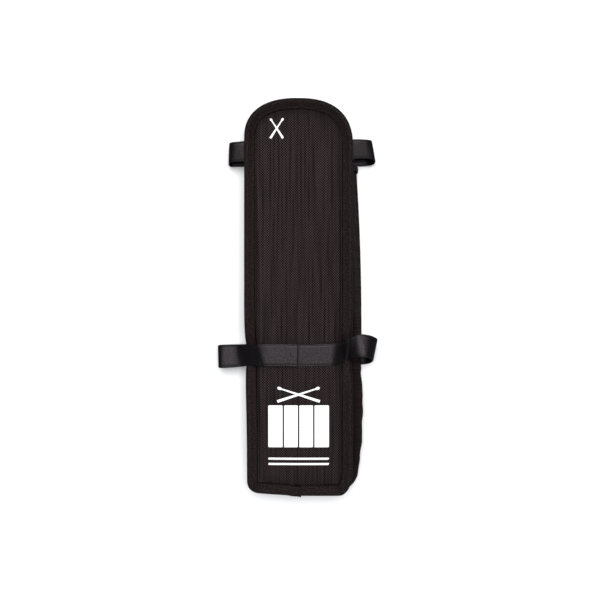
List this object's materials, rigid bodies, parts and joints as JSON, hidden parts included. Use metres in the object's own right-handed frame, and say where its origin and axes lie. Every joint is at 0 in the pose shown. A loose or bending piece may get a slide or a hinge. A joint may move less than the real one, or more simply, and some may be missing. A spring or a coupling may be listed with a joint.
{
  "type": "drum stick bag",
  "caption": "Slim padded fabric bag with a rounded lip over a gusseted pocket, bound edges and webbing straps with hook and loop closures.",
  "frame": {"origin": "middle of the footprint, on the surface that the bag lies on", "axes": "+Y along the bag towards its rounded top, +Z out of the printed front face, +X to the right"},
  "size_m": [0.1826, 0.45, 0.0426],
  "materials": {
    "ballistic_nylon": "coarse basket weave, dull",
    "lining_nylon": "smooth plain weave, dull",
    "binding_tape": "fine ribbed tape, dull",
    "closed_cell_foam": "smooth cut foam",
    "webbing": "ribbed webbing with a slight sheen",
    "hook_and_loop": "fuzzy, matte",
    "thread": "twisted, slight sheen",
    "white_ink": "flat screen print"
  },
  "bodies": {
    "bag": {"front_panel_skin": "ballistic_nylon", "front_panel_foam": "closed_cell_foam", "front_panel_lining": "lining_nylon", "front_binding": "binding_tape", "upper_print": "white_ink", "lower_print": "white_ink", "back_panel_skin": "ballistic_nylon", "back_panel_foam": "closed_cell_foam", "back_panel_lining": "lining_nylon", "back_seam_binding": "binding_tape", "gusset": "ballistic_nylon", "mouth_binding": "binding_tape", "upper_strap": "webbing", "upper_strap_stitching": "thread", "upper_loop_patch": "hook_and_loop", "lower_strap": "webbing", "lower_strap_stitching": "thread", "lower_loop_patch": "hook_and_loop"},
    "upper_tail": {"upper_strap_tail": "webbing", "upper_hook_patch": "hook_and_loop"},
    "lower_tail": {"lower_strap_tail": "webbing", "lower_hook_patch": "hook_and_loop"}
  },
  "joints": [
    {"name": "upper_tail_peel", "type": "hinge", "parent": "bag", "child": "upper_tail", "pos_m": [-0.08, 0.1663, 0.0009], "axis": [0, 1, 0], "range_deg": [0, 182]},
    {"name": "lower_tail_peel", "type": "hinge", "parent": "bag", "child": "lower_tail", "pos_m": [-0.063, -0.065, 0.0387], "axis": [0, -1, 0], "range_deg": [0, 165]}
  ]
}
